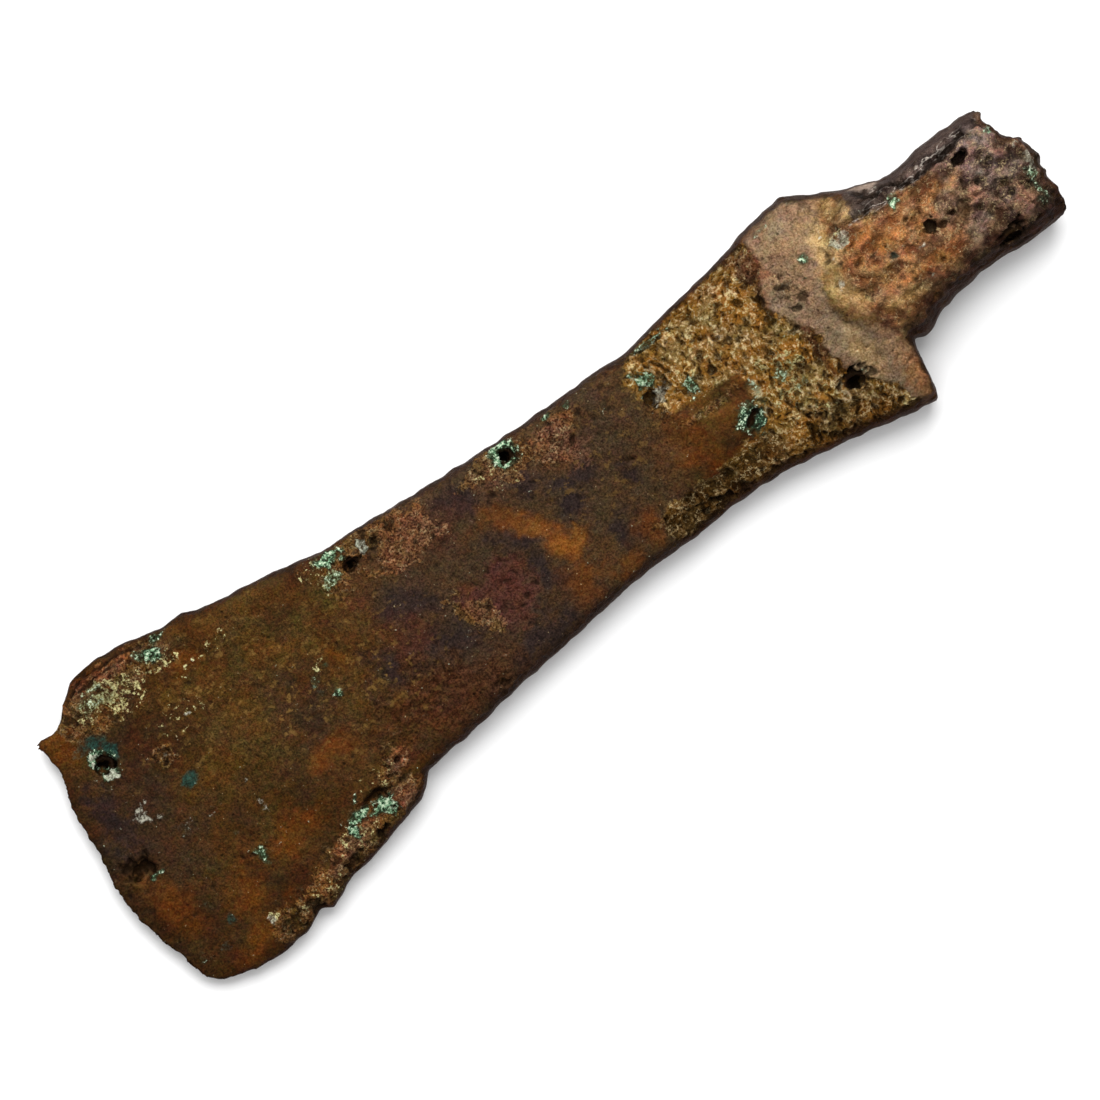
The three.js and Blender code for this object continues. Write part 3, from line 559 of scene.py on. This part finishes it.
def sharpen(value, low, high):
    """0 below low, 1 above high, with an easy slope between them."""
    return Wire.node("ShaderNodeMapRange", {"interpolation_type": "SMOOTHSTEP"}, {
        "Value": value, "From Min": low, "From Max": high,
    })


def blend(share, first, second):
    """The first colour, giving way to the second by a share."""
    return Wire.node("ShaderNodeMix", {"data_type": "RGBA"}, {0: share, 6: first, 7: second}, 2)


def tints(share, colour, wave):
    """A colour that turns rusty and slaty by turns, over patches of this size."""
    hue = blend(sharpen(speckle(wave, 3), 0.36, 0.64), (0.82, 0.94, 1.12, 1), (1.2, 0.99, 0.8, 1))
    return Wire.node("ShaderNodeMix", {"data_type": "RGBA", "blend_type": "MULTIPLY"},
                     {0: share, 6: colour, 7: hue}, 2)


def hues(share, colour, wave):
    """A colour whose red, green and blue vary apart over patches of this size."""
    apart = Wire.node("ShaderNodeTexNoise", {}, {
        "Vector": surface, "Scale": 1 / (wave * METRES), "Detail": 3, "Roughness": 0.6,
    }, "Color")
    return Wire.node("ShaderNodeMix", {"data_type": "RGBA", "blend_type": "OVERLAY"},
                     {0: share, 6: colour, 7: apart}, 2)


def crinkles(wave, width, over=None):
    """Thin winding lines, where noise of this size passes its middle value."""
    away = Wire.node("ShaderNodeMath", {"operation": "ABSOLUTE"}, {0: speckle(wave, 3, over=over) - 0.5})
    return 1 - sharpen(away, 0, width)


# Reads one mark from the mesh: a stain, crust or loss, or a place where light or shade is painted.
def stain(name):
    return Wire.node("ShaderNodeAttribute", {"attribute_name": name}, {}, "Fac")


bronze = bpy.data.materials.new("old_bronze")
bronze.use_nodes = True
Wire.tree = bronze.node_tree
shader = bronze.node_tree.nodes["Principled BSDF"]
surface = Wire.node("ShaderNodeTexCoord", {}, {}, "Object")
drawn = Wire.node("ShaderNodeVectorMath", {"operation": "MULTIPLY"}, {0: surface, 1: (0.25, 1, 0.6)})

fine = speckle(0.3, 3, 0.7)
middle = speckle(0.9, 4, 0.65)
broad = speckle(7, 4, 0.6)
wide = speckle(22, 3, 0.5)
rough_share = 0.5 + stain("lost") * 0.6 + stain("crust") * 0.5 + stain("tang") * 0.2 + stain("middle") * 0.2
# Painted light and shade on the tang: its cobbles' tops lighter, the dips between darker.
painted_cobble_light = (stain("crest_highlight") - 0.5) * stain("tang")
weave = fine * (0.75 - stain("tang") * 0.55) + middle * 0.25 + speckle(1.9, 3) * stain("tang") * 0.55 - 0.5
grain_and_cobble_light = sharpen(weave * (0.6 + rough_share * 0.7) + 0.5 + painted_cobble_light * 0.16, 0.36, 0.66)
scattered = Wire.node("ShaderNodeTexVoronoi", {}, {"Vector": surface, "Scale": 1 / (1.3 * METRES)})
pores = (1 - sharpen(scattered, 0.1, 0.2)) * sharpen(speckle(4, 3), 0.44, 0.58)
cloud = sharpen(broad * 0.7 + wide * 0.3, 0.38, 0.62)
lumpy = middle * 0.5 + fine * 0.5 - 0.5
clumps = middle * 0.8 + fine * 0.2 - 0.5
# Painted highlights: thin bright winding lines, like glints on crinkled metal.
lines = crinkles(1.1, 0.035) * sharpen(speckle(1.2, 2), 0.46, 0.6)


def skin(dark, light):
    """A patina's or painted shade's two tones, mixed by the surface's grain and by painted light on the tang's
    cobbles.
    """
    return blend(grain_and_cobble_light, dark, light)


def torn(name, spread, low=0.35, high=0.65):
    """A stain broken up by the lumps of the surface."""
    return sharpen(stain(name) + lumpy * spread, low, high)


russet = skin(paint(36, 21, 10), paint(69, 42, 21))
olive = skin(paint(48, 32, 10), paint(94, 67, 30))
grey_brown = skin(paint(42, 30, 20), paint(82, 63, 44))
colour = blend(cloud * 0.7 + stain("olive") * 0.5, russet, olive)
colour = blend(stain("middle") * 0.75, colour, grey_brown)
colour = blend(stain("slate") * 0.9, colour, skin(paint(25, 19, 19), paint(53, 42, 40)))
colour = blend(stain("orange") * 0.62, colour, skin(paint(76, 36, 6), paint(116, 68, 22)))
colour = blend(stain("amber") * 0.7, colour, skin(paint(100, 58, 16), paint(142, 92, 40)))
colour = blend(stain("red") * 0.6, colour, skin(paint(48, 23, 14), paint(90, 50, 36)))
colour = blend(stain("maroon") * 0.55, colour, skin(paint(52, 25, 22), paint(98, 58, 50)))
colour = blend(stain("burnt") * 0.7, colour, skin(paint(32, 16, 7), paint(82, 54, 32)))
colour = blend(torn("crust", 1.2) * 0.75, colour, skin(paint(50, 30, 13), paint(136, 100, 56)))
colour = blend(torn("crust", 1.2) * stain("red") * 0.85, colour, skin(paint(64, 35, 22), paint(148, 100, 70)))
colour = blend(stain("shoulder") * 0.9, colour, skin(paint(96, 76, 56), paint(157, 131, 103)))
tang_tone = blend(stain("butt"), skin(paint(92, 62, 40), paint(158, 118, 80)),
                  skin(paint(58, 43, 36), paint(146, 117, 100)))
colour = blend(stain("tang") * 0.95, colour, tang_tone)
colour = blend(stain("rust") * 0.55, colour, skin(paint(118, 66, 26), paint(180, 114, 56)))
colour = blend(stain("gold_and_highlight") * 0.8, colour, skin(paint(150, 116, 66), paint(214, 182, 126)))
# The bare metal is painted lighter on its crests and grain, a painted highlight, and darker below them, painted
# shade.
facet = stain("crest_highlight") * 0.5 + fine * 1.2 + middle * 0.5 - 0.6
ochre = blend(sharpen(speckle(3.5, 2), 0.38, 0.6), paint(160, 130, 76), paint(174, 122, 52))
golden = blend(sharpen(facet, 0.05, 0.45), paint(86, 58, 22), ochre)
golden = blend(sharpen(facet, 0.5, 0.76), golden, paint(250, 228, 172))
dim_gold = blend(sharpen(facet, 0.3, 0.8), paint(40, 23, 7), paint(112, 78, 36))
golden = blend(stain("dim") * 0.85, golden, dim_gold)
colour = blend(stain("lost") * 0.97, colour, golden)
colour = blend(stain("reddish") * 0.8, colour, skin(paint(58, 32, 20), paint(140, 96, 70)))
colour = blend(stain("shade") * 0.7, colour, paint(44, 24, 12))
# Painted shade and brown stain on the tang's lower slope.
colour = blend(stain("underslope_brown_and_shade") * 0.75, colour, skin(paint(38, 22, 11), paint(74, 50, 34)))
# Dark patina and painted shade on the rim.
colour = blend(stain("dark_rim_and_shade") * 0.85, colour, skin(paint(18, 11, 6), paint(44, 30, 20)))
calm = 1 - stain("lost") * 0.5 - stain("shoulder") * 0.5 - stain("middle") * 0.3 - stain("slate") * 0.4
calm = calm * (1 - stain("gold_and_highlight") * 0.7)
colour = tints(calm * 0.7, colour, 4.2)
colour = hues(calm * 0.35, colour, 2.6)
colour = hues(calm * (1 - stain("tang") * 0.5) * 0.35, colour, 0.5)
flecks = sharpen(speckle(1.1, 3), 0.56, 0.68) * (stain("olive") + 0.15)
colour = blend(flecks * 0.6, colour, paint(124, 94, 48))
colour = blend(pores * 0.6, colour, paint(20, 11, 5))
# Painted glints along the winding lines, on the spall, the tang and the crust.
rough_light = stain("lost") * 0.75 + stain("tang") * 0.35 + stain("crust") * 0.35
colour = blend(lines * rough_light * (1 - stain("dark_rim_and_shade")), colour, paint(226, 200, 148))
colour = blend(stain("lap") * 0.88, colour, skin(paint(27, 22, 21), paint(82, 72, 70)))
# Painted highlights along thin ridges of the lap.
lap_highlight_ridges = crinkles(2, 0.022, drawn) * (1 - stain("dark_rim_and_shade")) * 0.6
colour = blend(stain("lap") * lap_highlight_ridges, colour, paint(190, 178, 166))
colour = blend(stain("flap") * 0.95, colour, skin(paint(132, 110, 96), paint(208, 188, 172)))
colour = blend(torn("teal", 1.6, 0.3, 1.1) * 0.85, colour, skin(paint(8, 30, 26), paint(34, 76, 68)))
lichen = sharpen(stain("sage") * 0.68 + clumps * 3.2, 0.42, 0.56) * sharpen(stain("sage"), 0.02, 0.2)
lichen_tone = blend(sharpen(fine, 0.38, 0.6), paint(104, 90, 42), paint(220, 214, 154))
colour = blend(lichen * 0.8, colour, lichen_tone)
colour = blend(torn("mint", 1.6, 0.2, 0.8) * 0.75, colour, skin(paint(12, 30, 22), paint(48, 80, 58)))
verdigris = sharpen(stain("mint") * 0.58 + (clumps + lumpy) * 1.5, 0.42, 0.68)
dust = middle * 0.55 + fine * 0.45
powder = blend(sharpen(dust, 0.4, 0.54), paint(40, 82, 58), paint(120, 166, 126))
powder = blend(sharpen(dust, 0.52, 0.6), powder, paint(222, 236, 206))
colour = blend(verdigris * 0.9, colour, powder)
chalk = sharpen(stain("pale") + clumps * 2.2, 0.4, 0.85) * sharpen(stain("pale"), 0.02, 0.2)
colour = blend(chalk * 0.75, colour, skin(paint(112, 106, 88), paint(204, 202, 184)))
glint = sharpen(speckle(0.45, 2) + rough_share * 0.06 + stain("tang") * 0.02, 0.76, 0.82)
colour = blend(glint * (0.5 + stain("tang") * 0.35 - stain("lap") * 0.7), colour, paint(206, 182, 138))
# Painted shade in the hollows.
colour = blend(sharpen(stain("hollow") + lumpy * 0.6, 0.3, 0.9) * 0.6, colour, paint(22, 12, 4))
# Pits and open lines painted dark: dark corrosion and painted shade.
colour = blend(stain("pit") * 0.95, colour, paint(12, 7, 4))

Wire.tree.links.new(colour.socket, shader.inputs["Base Color"])
roughness = 0.44 + (fine - 0.5) * 0.6 + verdigris * 0.35 - stain("lost") * 0.08 - stain("tang") * 0.16
Wire.tree.links.new(roughness.socket, shader.inputs["Roughness"])
metal = (0.65 + stain("lost") * 0.15) * (1 - verdigris) * (1 - stain("pit"))
Wire.tree.links.new(metal.socket, shader.inputs["Metallic"])
shader.inputs["Specular IOR Level"].default_value = 0.12
shader.inputs["Specular Tint"].default_value = (0.45, 0.36, 0.3, 1)
creased = Wire.node("ShaderNodeMath", {"operation": "ABSOLUTE"}, {0: speckle(0.8, 3) - 0.5})
creased = creased * (stain("lost") * 0.9 + stain("tang") * 0.45 + stain("crust") * 0.5)
tooth = (fine * (0.2 + stain("lost") * 0.2) + middle * 0.2) * rough_share * (1 - stain("lap") * 0.6)
tooth = tooth + speckle(0.16, 1) * 0.05 + creased - pores * 0.06
bump = Wire.node("ShaderNodeBump", {}, {"Height": tooth, "Distance": METRES, "Strength": 1.0})
Wire.tree.links.new(bump.socket, shader.inputs["Normal"])
axe.data.materials.append(bronze)

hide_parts("axe_head")
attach(axe, "root")
